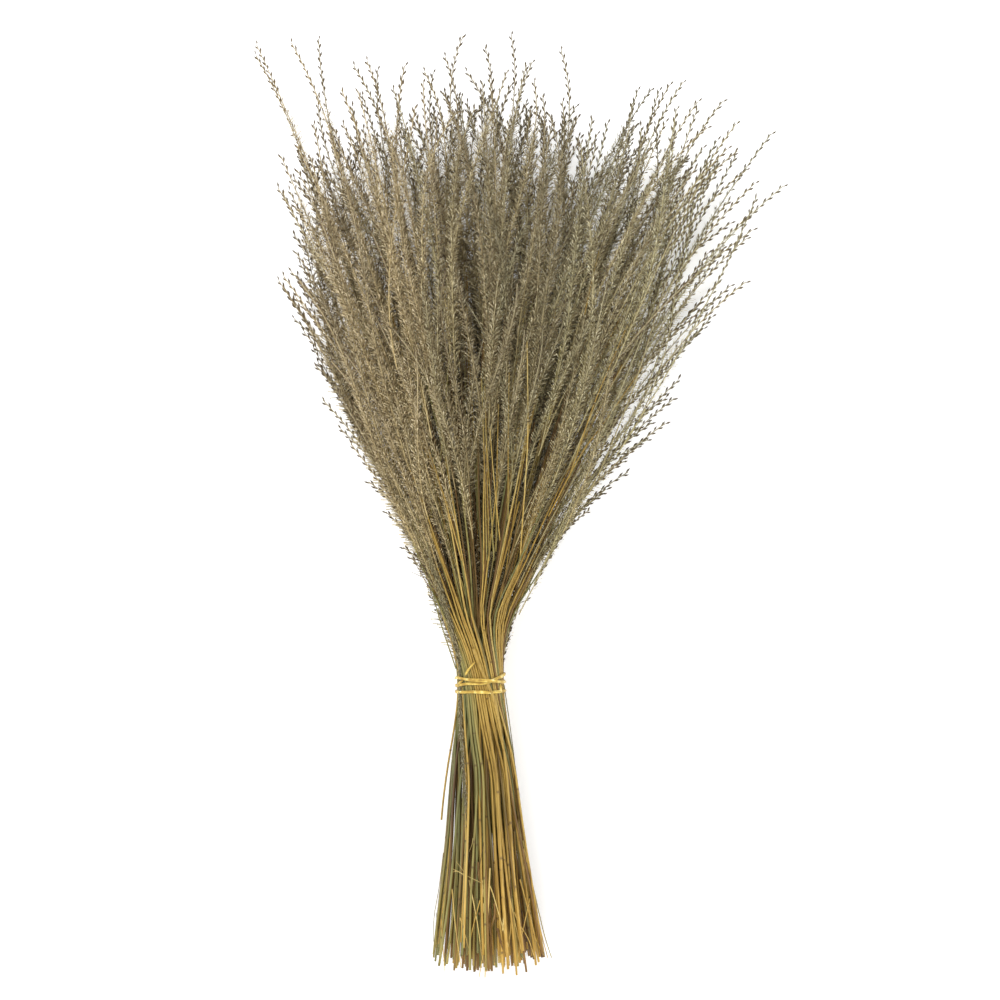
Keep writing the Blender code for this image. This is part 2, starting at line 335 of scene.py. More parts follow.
def streak_group():
    """Fine streaks along the bunch, with broad blotches: dry fibres and weathering."""
    group = bpy.data.node_groups.new("dry_streaks", "ShaderNodeTree")
    face = group.interface
    for label, start in (("Fineness", 900.0), ("Stretch", 9.0), ("Blotch Scale", 45.0)):
        socket = face.new_socket(label, in_out="INPUT", socket_type="NodeSocketFloat")
        socket.default_value = start
    for label in ("Streak", "Blotch"):
        face.new_socket(label, in_out="OUTPUT", socket_type="NodeSocketFloat")
    inside = add_node(group, "TexCoord")
    given = group.nodes.new("NodeGroupInput")
    size = add_node(
        group, "CombineXYZ",
        {"X": given.outputs["Fineness"], "Y": given.outputs["Stretch"], "Z": given.outputs["Fineness"]},
    )
    drawn = add_node(
        group, "VectorMath",
        {0: inside.outputs["Object"], 1: size.outputs["Vector"]}, operation="MULTIPLY",
    )
    streak = add_node(
        group, "TexNoise",
        {"Vector": drawn.outputs["Vector"], "Scale": 1, "Detail": 3, "Roughness": 0.6},
    )
    squeezed = add_node(
        group, "VectorMath", {0: inside.outputs["Object"], 1: (1.0, 0.3, 1.0)}, operation="MULTIPLY",
    )
    blotch = add_node(
        group, "TexNoise",
        {"Vector": squeezed.outputs["Vector"], "Scale": given.outputs["Blotch Scale"], "Detail": 2},
    )
    out = group.nodes.new("NodeGroupOutput")
    group.links.new(streak.outputs["Fac"], out.inputs["Streak"])
    group.links.new(blotch.outputs["Fac"], out.inputs["Blotch"])
    return group


DRY_STREAKS = streak_group()


def streaks(tree, fineness, stretch, blotch_scale):
    made = tree.nodes.new("ShaderNodeGroup")
    made.node_tree = DRY_STREAKS
    made.inputs["Fineness"].default_value = fineness
    made.inputs["Stretch"].default_value = stretch
    made.inputs["Blotch Scale"].default_value = blotch_scale
    return made


def add_ramp(tree, factor, stops, interpolation="LINEAR"):
    """A colour ramp with (position, colour) stops."""
    made = add_node(tree, "ValToRGB", {"Fac": factor})
    made.color_ramp.interpolation = interpolation
    steps = made.color_ramp.elements
    while len(steps) < len(stops):
        steps.new(0.5)
    for step, (position, shade) in zip(steps, stops):
        step.position = position
        step.color = shade
    return made.outputs["Color"]


def add_math(tree, operation, first, second, third=None):
    inputs = {0: first, 1: second}
    if third is not None:
        inputs[2] = third
    return add_node(tree, "Math", inputs, operation=operation).outputs["Value"]


def add_mix(tree, blend, factor, first, second):
    made = add_node(
        tree, "Mix", {0: factor, 6: first, 7: second}, data_type="RGBA", blend_type=blend,
    )
    return made.outputs[2]


def add_remap(tree, value, low, high, new_low, new_high):
    made = add_node(
        tree, "MapRange",
        {"Value": value, "From Min": low, "From Max": high, "To Min": new_low, "To Max": new_high},
    )
    return made.outputs["Result"]


def make_straw_finish():
    """Straw from ochre to olive and brown by each stem's own tone, with dark joints."""
    finish, tree, shader = new_finish("dry_straw")
    tone = add_node(tree, "Attribute", attribute_name="tone").outputs["Fac"]
    joint = add_node(tree, "Attribute", attribute_name="joint").outputs["Fac"]
    grain = streaks(tree, 1100, 9, 26)
    drift = add_remap(tree, grain.outputs["Blotch"], 0.3, 0.7, -0.09, 0.09)
    shifted = add_math(tree, "ADD", tone, drift)
    base = add_ramp(tree, shifted, (
        (0.00, colour(194, 176, 116)),
        (0.16, colour(179, 150, 76)),
        (0.36, colour(152, 121, 47)),
        (0.50, colour(144, 133, 74)),
        (0.66, colour(108, 109, 64)),
        (0.78, colour(114, 86, 38)),
        (0.95, colour(80, 56, 25)),
        (1.00, colour(88, 34, 33)),
    ))
    fibre = add_ramp(tree, grain.outputs["Streak"], (
        (0.30, (0.42, 0.34, 0.17, 1)),
        (0.50, (0.95, 0.94, 0.89, 1)),
        (0.72, (1.15, 1.15, 1.10, 1)),
    ))
    streaked = add_mix(tree, "MULTIPLY", 0.85, base, fibre)
    spot = add_node(tree, "SeparateXYZ", {"Vector": add_node(tree, "TexCoord").outputs["Object"]})
    bleach = add_remap(tree, spot.outputs["Y"], -0.25, -0.37, 0.0, 1.0)
    bleached = add_mix(tree, "MULTIPLY", bleach, streaked, (1.42, 1.35, 1.28, 1))
    joint_ring = add_mix(tree, "MIX", joint, bleached, colour(84, 60, 34))
    tree.links.new(joint_ring, shader.inputs["Base Color"])
    rough = add_remap(tree, grain.outputs["Streak"], 0.3, 0.7, 0.62, 0.42)
    tree.links.new(rough, shader.inputs["Roughness"])
    bump = add_node(
        tree, "Bump",
        {"Height": grain.outputs["Streak"], "Strength": 0.5, "Distance": 0.0003},
    )
    tree.links.new(bump.outputs["Normal"], shader.inputs["Normal"])
    shader.inputs["Specular IOR Level"].default_value = 0.45
    return finish


STEM_TUBE = straight_tube(STEM_SIDES, STEM_RINGS, hollow=True)
STEM_CORNERS = corners_of(STEM_TUBE)
STRAW = make_straw_finish()
dice = np.random.default_rng(11)


def turn_round(across, deep, degrees):
    """A place in the bunch turned round its middle, against the clock as the cut ends see it."""
    turned = np.radians(degrees)
    return (
        across * np.cos(turned) - deep * np.sin(turned),
        across * np.sin(turned) + deep * np.cos(turned),
    )


def spread(across, deep):
    """The angle at which a stem leaves the waist, in degrees to the right of the bunch's length."""
    room = math.sqrt(max(1 - 0.9 * deep ** 2, 0.15))
    return np.interp(across / room, FAN_SHARES, FAN_ANGLES)


def highest_tip(angle):
    """How far along Y the heads reach at this angle from the waist."""
    return float(np.interp(angle, REACHES[:, 0], REACHES[:, 1]))


def fan_x(angle, y):
    """X of the line that leaves FAN_MIDDLE at this angle."""
    return FAN_MIDDLE[0] + (y - FAN_MIDDLE[1]) * math.tan(math.radians(angle))


def aim_of(across, deep):
    """Where a stem's head points: its angle, and the far end of its way in X and Y."""
    angle = spread(across, deep) + dice.normal(0, 4.0)
    drop = 0.02 + 0.20 * dice.random() ** 1.2
    far_y = max(highest_tip(angle) - drop, min(highest_tip(angle), 0.05))
    return angle, fan_x(angle, far_y), far_y


def fanned_x(across, deep, aim, y):
    """X along a stem above the tie, and along the line that its head follows."""
    start_x = place(across, deep, FAN_START)[0]
    _, far_x, far_y = aim
    share = (y - FAN_START) / (far_y - FAN_START)
    return start_x + (far_x - start_x) * ((1 - FAN_BOW) * share + FAN_BOW * share * np.abs(share))


def stem_route(across, deep, twist, low, top, aim, lean, wave):
    """A stem's way through the bunch: turned round the waist, then fanned out to its aim.

    lean is its slope across the bunch, in X and Z, and wave its slow bends in metres.
    """
    y = np.linspace(low, top, 90)
    turned = twist * np.interp(y, TWIST_STEPS, TWIST_CURVE)
    inside = 1 - 0.16 * ease((y + 0.08) / 0.12)
    here_across, here_deep = turn_round(across, deep, turned)
    points = place(here_across, here_deep * inside, y)
    fan_across, fan_deep = turn_round(across, deep, twist)
    fan_x = fanned_x(fan_across, fan_deep, aim, y)
    points[:, 0] += (fan_x - points[:, 0]) * ease((y - FAN_START) / 0.09)
    away = y - WAIST
    held = ease((np.abs(away) - 0.01) / 0.10)
    below = ease(-away / 0.05)
    points[:, 0] += lean[0] * away * below + wave[0] * held * np.sin(away * wave[2])
    points[:, 2] += lean[1] * away * below + wave[1] * held * np.cos(away * wave[2])
    middle = place(0, 0, y)
    edge = place(1, 0, y) - middle
    out = (points[:, 0] - middle[:, 0]) / edge[:, 0]
    over = np.maximum(np.abs(out) - 0.8, 0)
    pulled = np.sign(out) * (np.minimum(np.abs(out), 0.8) + 0.17 * (1 - np.exp(-over / 0.17)))
    points[:, 0] += (pulled - out) * edge[:, 0] * below
    points[:, 2] = np.maximum(points[:, 2], STEM_RADIUS)
    return points


def stem_shape(route, thickness, tone, joints, slot, slots):
    """One stem's points and numbers. joints are shares of its length."""
    length = np.linalg.norm(np.diff(route, axis=0), axis=1).sum()
    plain = np.linspace(0, 1, STEM_RINGS - 3 * len(joints))
    rings = np.concatenate([plain, *[np.array((-1, 0, 1)) * 0.0016 / length + j for j in joints]])
    order = np.argsort(rings)
    along = np.sort(rings) * length
    swollen = np.concatenate([np.zeros(len(plain)), *[(0, 1, 0)] * len(joints)])[order]
    y = np.interp(along / length, np.linspace(0, 1, len(route)), route[:, 1])
    thinned = 0.34 * ease((y - WAIST) / 0.10) + 0.18 * ease((y - 0.0) / 0.15)
    radius = STEM_RADIUS * thickness * (1 - thinned) * (1 + 0.16 * swollen)
    ring = STEM_CORNERS[:, 2]
    numbers = np.arange(STEM_RINGS)
    here = np.interp(ring, numbers, radius)
    points = np.stack(
        (STEM_CORNERS[:, 0] * here, STEM_CORNERS[:, 1] * here, np.interp(ring, numbers, along)),
        axis=1,
    )
    dark = np.interp(ring, numbers, swollen) * 0.85
    wrap = ((slot + 0.04) / slots, 0.92 / slots)
    return (STEM_TUBE, bend_along(points, route), wrap, {"tone": tone, "joint": dark})


# The tones of straws as ranges of the colour ramp
TONES = {
    "pale": (0.00, 0.14), "gold": (0.14, 0.40), "olive": (0.46, 0.70), "brown": (0.74, 0.86),
}


def pick_tone(across, in_painted_shade=False):
    """A tone for a stem at this share of the way across: the olive ones stand at the left, and stems hidden
    inside the bunch get browner tones as painted shade.
    """
    # Hidden stems: darker brown and olive tones, painted shade between the stems
    if in_painted_shade:
        mostly = ("olive", "brown", "brown", "gold")
    elif across < -0.25:
        mostly = ("olive", "olive", "olive", "gold")
    elif across < 0.35:
        mostly = ("gold", "olive", "pale", "gold")
    else:
        mostly = ("gold", "gold", "pale", "brown", "olive")
    low, high = TONES[mostly[dice.integers(len(mostly))]]
    return dice.uniform(low, high)


def pick_joints():
    return np.sort(dice.choice(np.linspace(0.05, 0.5, 10), dice.integers(1, 4), replace=False))


stems = []
outer_shapes = []
number = 0
for slot in range(OUTER_STEMS):
    if slot == CAUGHT_SLOT:
        continue
    angle = math.radians(LOWEST_SLOT + slot * 360 / OUTER_STEMS)
    across = OUTER_RING * math.cos(angle)
    deep = OUTER_RING * math.sin(angle)
    lean = dice.normal(0, 0.03, 2)
    wave = (*dice.normal(0, 0.0009, 2), dice.uniform(14, 30))
    fan_across, fan_deep = turn_round(across, deep, OUTER_TWIST)
    aim = aim_of(fan_across, fan_deep)
    top = max(min(aim[2] - dice.uniform(0.10, 0.15), dice.uniform(0.02, 0.07)), -0.075)
    stems.append((fan_across, fan_deep, aim, top))
    if slot == BROKEN_SLOT:
        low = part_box("broken_stem")[0].y
        route = stem_route(across, deep, 0, low, top, aim, (0, 0), wave)
        stray = ease((WAIST - route[:, 1]) / (WAIST - low))
        route[:, 0] += stray * (place(-BROKEN_LEAN, deep, low)[0] - route[0, 0])
        broken_shape = stem_shape(route, 0.85, 0.2, [0.2], 0, 1)
    else:
        number += 1
        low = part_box(f"stem_{number:02d}")[0].y
        route = stem_route(across, deep, OUTER_TWIST, low, top, aim, lean, wave)
        outer_shapes.append(
            stem_shape(
                route, dice.uniform(0.72, 1.10), pick_tone(across), pick_joints(), number - 1, 28,
            )
        )

inner_places = []
for row in range(-7, 8):
    for column in range(-8, 9):
        side = (column + 0.5 * (row % 2)) * INNER_PITCH
        up = row * INNER_PITCH * 0.866
        if (side / 0.0158) ** 2 + (up / 0.0138) ** 2 < 1:
            nudge = dice.normal(0, 0.0002, 2)
            inner_places.append(((side + nudge[0]) / 0.0192, (up + nudge[1]) / 0.0172, False))
for slot in range(OUTER_STEMS):
    angle = math.radians(LOWEST_SLOT + (slot + 0.5) * 360 / OUTER_STEMS)
    inner_places.append((GAP_RING * math.cos(angle), GAP_RING * math.sin(angle), True))
inner_shapes = []
for count, (across, deep, in_gap) in enumerate(inner_places):
    low = CUT_END + 0.0006 + 0.018 * dice.random() ** 1.6 + 0.012 * across ** 2
    lean = dice.normal(0, 0.04, 2)
    wave = (*dice.normal(0, 0.0014, 2), dice.uniform(14, 30))
    twist = OUTER_TWIST + dice.normal(0, 2) if in_gap else INNER_TWIST + dice.normal(0, 8)
    fan_across, fan_deep = turn_round(across, deep, twist)
    aim = aim_of(fan_across, fan_deep)
    top = max(aim[2] - dice.uniform(0.10, 0.15), -0.075)
    stems.append((fan_across, fan_deep, aim, top))
    route = stem_route(across, deep, twist, low, top, aim, lean, wave)
    # The stems of the inner grid take darker tones, painted shade inside the bunch
    inner_shapes.append(
        stem_shape(
            route, dice.uniform(0.84, 1.12), pick_tone(across, not in_gap), pick_joints(), count,
            len(inner_places),
        )
    )

show(
    "outer_stems", strew("outer_stems", outer_shapes), STRAW,
    [f"stem_{number:02d}" for number in range(1, 29)],
)
show("broken_stem_straw", strew("broken_stem_straw", [broken_shape]), STRAW, ["broken_stem"])
show("inner_stems_straw", strew("inner_stems_straw", inner_shapes), STRAW, ["inner_stems"])


# Flower heads
# Each stem ends in a spray of long spikes. A spike is a thin pale stalk with a narrow brown husk
# every few millimetres, left and right in turn, and silky hairs from the foot of each husk. They
# are thick enough low on the spike to hide it, and gone at its tip, where the husks are bare.

HUSK_LENGTH = 0.0054
HUSK_WIDTH = 0.0015
HUSK_STEP = 0.0036
STALK_RADIUS = 0.00052
TUFT_STEP = 0.0020
HEAD_SLOTS = 40
SPIKE_LENGTHS = (0.11, 0.14, 0.17, 0.20, 0.23, 0.26)
# The kinds of spike: hairs to a tuft, how thick and how long a hair is, and the bare tip's length
SPIKE_KINDS = {
    "full": (7, 0.00028, 0.0066, 0.030),
    "back": (4, 0.00036, 0.0072, 0.030),
    "bare_tipped": (5, 0.00023, 0.0062, 0.055),
    "sparse": (3, 0.00021, 0.0054, 0.090),
    "inner": (3, 0.00056, 0.0086, 0.030),
}


def make_husk():
    """A husk along Z. Each point keeps its place on the wrap: u in the spike's strip, and v."""
    bm = bmesh.new()
    grown = bm.verts.layers.float_vector.new("grown")
    bmesh.ops.create_uvsphere(bm, u_segments=4, v_segments=2, radius=1)
    for number, corner in enumerate(bm.verts):
        corner[grown] = (0.03 * (number % 4) - 0.045, 0.70 - 0.055 * corner.co.z, 0)
        if abs(corner.co.z) < 0.5:
            corner.co.z = 0.15
    bmesh.ops.scale(bm, vec=(HUSK_WIDTH / 2, HUSK_WIDTH / 2, HUSK_LENGTH / 2), verts=bm.verts)
    bmesh.ops.translate(bm, vec=(0, 0, HUSK_LENGTH / 2), verts=bm.verts)
    mesh = bpy.data.meshes.new("husk")
    bm.to_mesh(mesh)
    bm.free()
    return mesh


def make_tuft(hairs, radius, length):
    """Hairs that leave a short piece of stalk, most of them to its left and right."""
    bm = bmesh.new()
    grown = bm.verts.layers.float_vector.new("grown")
    for number in range(hairs):
        turn = math.pi * number + dice.normal(0, 0.8)
        lean = math.radians(dice.uniform(18, 74))
        own_length = length * dice.uniform(0.55, 1.15)
        brushy = bool(dice.integers(2))
        matrix = (
            Matrix.Translation((0, 0, dice.uniform(0, TUFT_STEP))) @ Matrix.Rotation(turn, 4, "Z")
            @ Matrix.Rotation(-lean, 4, "X") @ Matrix.Translation((0, 0, own_length / 2))
            @ Matrix.Rotation(math.pi * brushy, 4, "X")
        )
        hair = bmesh.ops.create_cone(
            bm, cap_ends=True, segments=3, radius1=radius, radius2=0, depth=own_length,
            matrix=matrix,
        )["verts"]
        # Each hair takes one of three tone bands, dark at its foot by the stalk and pale at its end: pale
        # silky ends, and painted shade in the spike's core where the feet crowd
        band = 0.2 * dice.integers(3)
        broad, pointed = (0.18, 0.01) if brushy else (0.01, 0.18)
        for side, corner in enumerate(hair):
            corner[grown] = (0.05 * (side % 3 - 1), band + (broad if side < 3 else pointed), 0)
    mesh = bpy.data.meshes.new("tuft")
    bm.to_mesh(mesh)
    bm.free()
    return mesh


dice = np.random.default_rng(5)
HUSK = make_husk()
TUFTS = {
    kind: {
        hairs: [make_tuft(hairs, radius, length) for _ in range(4)]
        for hairs in range(1, most + 1)
    }
    for kind, (most, radius, length, _) in SPIKE_KINDS.items()
}


def add_grown(bm, grown, mesh, matrix, share):
    """Set a husk or a tuft on a spike, at this share of its length."""
    start = len(bm.verts)
    bm.from_mesh(mesh)
    added = bm.verts[start:]
    bmesh.ops.transform(bm, matrix=matrix, verts=added)
    for corner in added:
        inner, role, _ = corner[grown]
        corner[grown] = (0.1 + 0.8 * share + inner, role, share)


def make_spike(length, kind):
    """A straight spike along Z: its stalk, then its husks and its tufts of hair."""
    most, _, _, bare = SPIKE_KINDS[kind]
    bm = bmesh.new()
    grown = bm.verts.layers.float_vector.new("grown")
    bmesh.ops.create_cone(
        bm, cap_ends=True, segments=3, radius1=STALK_RADIUS, radius2=STALK_RADIUS * 0.85,
        depth=length, matrix=Matrix.Translation((0, 0, length / 2)),
    )
    long_edges = [edge for edge in bm.edges if edge.calc_length() > length * 0.9]
    bmesh.ops.subdivide_edges(bm, edges=long_edges, cuts=21, use_grid_fill=True)
    for corner in bm.verts:
        share = corner.co.z / length
        side = 0.05 * math.cos(math.atan2(corner.co.y, corner.co.x) + 0.3)
        corner[grown] = (0.1 + 0.8 * share + side, 0.86 + 0.12 * share + 0.2 * side, share)
    reach = length - bare * 1.5 if kind in ("inner", "back") else 0.012
    count = 0
    while reach < length + 0.001:
        bared = ease((bare + 0.015 - (length - reach)) / 0.03)
        lean = math.radians(dice.uniform(30 - 20 * bared, 62 - 41 * bared))
        turn = math.pi * count + dice.uniform(-1, 1) * (1.5 - 1.1 * bared)
        size = dice.uniform(0.88, 1.12) * (0.74 + 0.26 * bared)
        matrix = (
            Matrix.Translation((0, 0, reach)) @ Matrix.Rotation(turn, 4, "Z")
            @ Matrix.Translation((0, STALK_RADIUS * 0.6, 0)) @ Matrix.Rotation(-lean, 4, "X")
            @ Matrix.Scale(size, 4)
        )
        add_grown(bm, grown, HUSK, matrix, min(reach / length, 1))
        reach += HUSK_STEP * dice.uniform(0.85, 1.15) * (1.7 - 0.7 * bared)
        count += 1
    reach = 0.005
    while reach < length - 0.3 * bare:
        thick = ease((length - reach - 0.4 * bare) / (0.6 * bare + 0.03)) * ease(0.3 + reach / 0.04)
        kinds = TUFTS[kind]
        hairs = min(kinds, key=lambda number: abs(number - most * thick + dice.uniform(-1, 1)))
        matrix = (
            Matrix.Translation((0, 0, reach)) @ Matrix.Rotation(dice.uniform(-0.4, 0.4), 4, "Z")
            @ Matrix.Scale(dice.uniform(0.9, 1.1) * (0.55 + 0.45 * thick), 4)
        )
        add_grown(bm, grown, kinds[hairs][dice.integers(4)], matrix, reach / length)
        reach += TUFT_STEP
    bm.loops.layers.uv.new("OFBake")
    mesh = bpy.data.meshes.new("spike")
    bm.to_mesh(mesh)
    bm.free()
    spots = np.empty(len(mesh.vertices) * 3)
    mesh.attributes["grown"].data.foreach_get("vector", spots)
    spots = spots.reshape(-1, 3)
    used = np.empty(len(mesh.loops), dtype=np.int32)
    mesh.loops.foreach_get("vertex_index", used)
    mesh.uv_layers["OFBake"].data.foreach_set("uv", spots[used, :2].ravel())
    mesh.attributes.remove(mesh.attributes["grown"])
    return mesh, corners_of(mesh)


SPIKE_SHAPES = {
    kind: [make_spike(length, kind) for length in SPIKE_LENGTHS] for kind in SPIKE_KINDS
}


def make_head_finish():
    """Khaki hairs, brown husks and yellow stalks, by the place on the wrap; each spike has a tint."""
    finish, tree, shader = new_finish("khaki_chaff")
    wrap = add_node(tree, "UVMap", uv_map="OFBake").outputs["UV"]
    parts = add_node(tree, "SeparateXYZ", {"Vector": wrap})
    role = parts.outputs["Y"]
    strip = add_math(tree, "FRACT", add_math(tree, "MULTIPLY", parts.outputs["X"], HEAD_SLOTS), 0)
    share = add_remap(tree, strip, 0.1, 0.9, 0, 1)
    # Three bands of hair tones, each dark at the hair's foot as painted shade in the spike's core and pale
    # at its end; then husks and stalks
    base = add_ramp(tree, role, (
        (0.00, colour(86, 76, 53)),
        (0.18, colour(136, 124, 95)),
        (0.20, colour(122, 111, 82)),
        (0.38, colour(182, 171, 138)),
        (0.40, colour(156, 146, 115)),
        (0.58, colour(218, 210, 182)),
        (0.63, colour(58, 49, 36)),
        (0.70, colour(86, 75, 55)),
        (0.80, colour(154, 142, 112)),
        (0.84, colour(174, 162, 124)),
        (1.00, colour(154, 145, 116)),
    ))
    tint = add_node(tree, "Attribute", attribute_name="tint").outputs["Fac"]
    cast = add_ramp(tree, tint, (
        (0.0, (1.05, 0.98, 0.89, 1)),
        (0.5, (1.00, 0.98, 0.89, 1)),
        (1.0, (0.98, 1.03, 0.97, 1)),
    ))
    tinted = add_mix(tree, "MULTIPLY", 1.0, base, cast)
    aged = add_ramp(tree, share, ((0.0, (1.0, 0.97, 0.88, 1)), (1.0, (1.0, 1.0, 1.07, 1))))
    aged_colour = add_mix(tree, "MULTIPLY", 1.0, tinted, aged)
    shade = add_node(tree, "Attribute", attribute_name="shade").outputs["Fac"]
    shaded = add_node(tree, "HueSaturation", {"Color": aged_colour, "Value": shade})
    tree.links.new(shaded.outputs["Color"], shader.inputs["Base Color"])
    shader.inputs["Roughness"].default_value = 0.75
    shader.inputs["Specular IOR Level"].default_value = 0.3
    return finish


CHAFF = make_head_finish()

# The heads of the model: the name of the layer, its place in depth and its number of heads
LAYERS = (("top", 2 / 3, 8), ("middle", 0, 9), ("low", -2 / 3, 7))
heads = []
for layer, deep, count in LAYERS:
    half_across = math.sqrt(1 - (deep * 0.72) ** 2) / count
    for number in range(count):
        heads.append((f"head_{layer}_{number + 1}", (2 * number + 1 - count) * half_across, deep))

# Where the highest tips end in X and Y, and how high the tips reach across the bunch
SEEN_TIPS = (
    (-0.2112, 0.3698), (-0.2108, 0.3598), (-0.1820, 0.3690), (-0.1608, 0.3738), (-0.1606, 0.3262),
    (-0.1410, 0.3292), (-0.1245, 0.3250), (-0.1315, 0.3490), (-0.1210, 0.3530), (-0.1122, 0.3450),
    (-0.0915, 0.3520), (-0.0750, 0.3440), (-0.0685, 0.3440), (-0.0590, 0.3580), (-0.0445, 0.3762),
    (-0.0268, 0.3650), (-0.0060, 0.3748), (0.0108, 0.3530), (0.0340, 0.3636), (0.0348, 0.3204),
    (0.0444, 0.3084), (0.0628, 0.2948), (0.0708, 0.3030), (0.0948, 0.3292), (0.1124, 0.3300),
    (0.1204, 0.3340), (0.1316, 0.3370), (0.1428, 0.3204), (0.1644, 0.3236), (0.1748, 0.3050),
    (0.2020, 0.2956), (0.2116, 0.2540), (0.1820, 0.2116), (0.1628, 0.2036), (0.1508, 0.1996),
    (0.1808, 0.1764), (0.1692, 0.1740), (0.1236, 0.0836), (0.1164, 0.0636), (0.0876, 0.0252),
    (0.0564, -0.0052), (-0.1924, 0.2524), (-0.1756, 0.2780), (-0.1868, 0.1804), (-0.1908, 0.1772),
    (-0.1724, 0.1740), (-0.1870, 0.1724),
)

dice = np.random.default_rng(29)


def lowest_hairs(angle):
    """How far down Y the hairs reach at this angle from the waist."""
    return float(np.interp(
        angle, (-38, -30, -20, -12, 0, 12, 18, 26, 40),
        (-0.082, -0.074, -0.052, -0.012, 0.004, -0.004, -0.030, -0.052, -0.066),
    ))


def grow_spike(stem, tip, foot_deep, tip_deep, foot_y):
    """The route of a spike that leaves this stem at foot_y and ends at tip, in X and Y."""
    across, deep, aim, _ = stem
    tip_x, tip_y = tip
    y = np.linspace(foot_y, tip_y, 30)
    grown = (y - foot_y) / (tip_y - foot_y)
    own_deep = foot_deep + (tip_deep - foot_deep) * ease(grown * 1.5)
    route = place(0, own_deep, y)
    line = fanned_x(across, deep, aim, y)
    apart = tip_x - line[-1]
    route[:, 0] = line + apart * (0.5 * grown ** 1.2 + 0.5 * grown ** 2.5)
    hook = float(np.clip(dice.normal(0, 0.055), -0.09, 0.09))
    if abs(aim[0]) > 17:
        hook = math.copysign(hook, aim[0])
    route[:, 0] -= hook * grown ** 3 * (1 - grown)
    sway = dice.normal(0, 0.0016, 2)
    turn = dice.uniform(15, 45)
    left = ease(grown * 3)
    route[:, 0] += sway[0] * np.sin(y * turn) * left * (1 - grown)
    route[:, 2] += sway[1] * np.cos(y * turn) * left + dice.normal(-0.006, 0.004) * grown ** 4
    return route


def surface(angle):
    """How deep the bunch is at this angle from the waist, as a share of its half depth."""
    return math.sqrt(max(1 - (angle / 40) ** 2 * 0.85, 0.08))


spikes = []
for tip_x, tip_y in SEEN_TIPS:
    angle = math.degrees(math.atan2(tip_x - FAN_MIDDLE[0], tip_y - FAN_MIDDLE[1]))
    reaching = [stem for stem in stems if stem[2][2] > tip_y - 0.16]
    near = sorted(reaching, key=lambda stem: abs(stem[2][0] - angle) + 6 * abs(stem[1] - 0.3))[:4]
    stem = near[dice.integers(len(near))]
    length = dice.uniform(0.20, 0.26)
    foot_y = max(tip_y - length, lowest_hairs(angle))
    spikes.append((
        grow_spike(stem, (tip_x, tip_y), stem[1] * 0.84, stem[1] * 0.9, foot_y), "bare_tipped", stem[1],
    ))

# How many spikes lie over each square of 2 mm
COVER_CELL = 0.002
cover = np.zeros((300, 300))


def cells_under(route):
    """The squares under a spike, without its foot and its bare tip."""
    share = np.linspace(0.04, 0.88, 100)
    steps = np.linspace(0, 1, len(route))
    x = np.interp(share, steps, route[:, 0])[:, None] + np.array((-0.003, -0.001, 0.001, 0.003))
    y = np.interp(share, steps, route[:, 1])[:, None] + np.zeros(4)
    return ((x + 0.3) / COVER_CELL).astype(int), ((y + 0.2) / COVER_CELL).astype(int)


def add_spike(angle, deep, drop, length, kind, hairs_from):
    """Grow a spike at this angle and depth, with its tip this share of the way below the highest."""
    tip_y = highest_tip(angle) - drop * (highest_tip(angle) - lowest_hairs(angle))
    foot_y = max(tip_y - length, hairs_from)
    if tip_y - foot_y < 0.10:
        foot_y = tip_y - 0.10
    leaves = angle + dice.normal(0, 6)
    stem = min(stems, key=lambda stem: (
        abs(stem[2][0] - leaves) / 10 + abs(stem[1] - deep) + 0.2 * dice.random()
        + 4 * (stem[2][2] < foot_y)
    ))
    route = grow_spike(
        stem, (fan_x(angle, tip_y), tip_y), deep * dice.uniform(0.80, 0.92),
        deep * dice.uniform(0.90, 1.04), foot_y,
    )
    return route, kind, deep


# The spikes that show on the bunch's upper side and underside, in ranks from low to high: how many,
# how much lower than the highest tips theirs are, as shares of the way, and how long they are
RANKS = (
    (26, (0.40, 0.62), (0.13, 0.20)),
    (32, (0.18, 0.38), (0.17, 0.23)),
    (66, (0.00, 0.15), (0.20, 0.26)),
)
# The spikes stand close from the left to right of the middle, and further apart at the right edge
CROWDING = ((0, 0.06, 0.88, 1.0), (-32.5, -26, 26, 37))
for side in (1, -1):
    for count, drops, lengths in RANKS:
        for number in range(count):
            angle = float(np.interp((number + 0.5 + dice.uniform(-0.4, 0.4)) / count, *CROWDING))
            hairs_from = lowest_hairs(angle) if side > 0 else -0.075
            if angle > 24:
                kind = "sparse" if dice.random() < 0.85 else "bare_tipped"
            elif angle < -24 or dice.random() < 0.15:
                kind = "bare_tipped"
            else:
                kind = "full" if side > 0 else "back"
            spikes.append(add_spike(
                angle, side * surface(angle), dice.uniform(*drops), dice.uniform(*lengths), kind,
                hairs_from + dice.uniform(-0.01, 0.02),
            ))

for route, *_ in spikes:
    cover[cells_under(route)] += 1

# The spikes inside the bunch: how many, how much lower than the highest tips theirs are, how long
# they are, and how far down Y their hairs may start. Of a few ways for each, the one that fills
# the thinnest places is kept
INNER_RANKS = (
    (140, (0.08, 0.50), (0.17, 0.25), -0.06),
    (52, (0.45, 0.75), (0.12, 0.17), -0.080),
    (46, (0.75, 1.00), (0.12, 0.15), -0.100),
)
INNER_ANGLES = (-28, 27)
for count, drops, lengths, hairs_from in INNER_RANKS:
    for number in range(count):
        ways = []
        for _ in range(7):
            angle = dice.uniform(*INNER_ANGLES)
            highest = 0.7 if hairs_from > -0.07 else 0.25
            deep = surface(angle) * (-0.8 + (highest + 0.8) * (number + 0.5) / count)
            kind = "sparse" if angle > 22 else "inner"
            ways.append(add_spike(
                angle, deep, dice.uniform(*drops), dice.uniform(*lengths),
                kind, hairs_from + dice.uniform(0, 0.03) + 0.04 * max(deep, 0),
            ))
        best = max(ways, key=lambda way: np.exp(-cover[cells_under(way[0])]).sum())
        cover[cells_under(best[0])] += 1
        spikes.append(best)

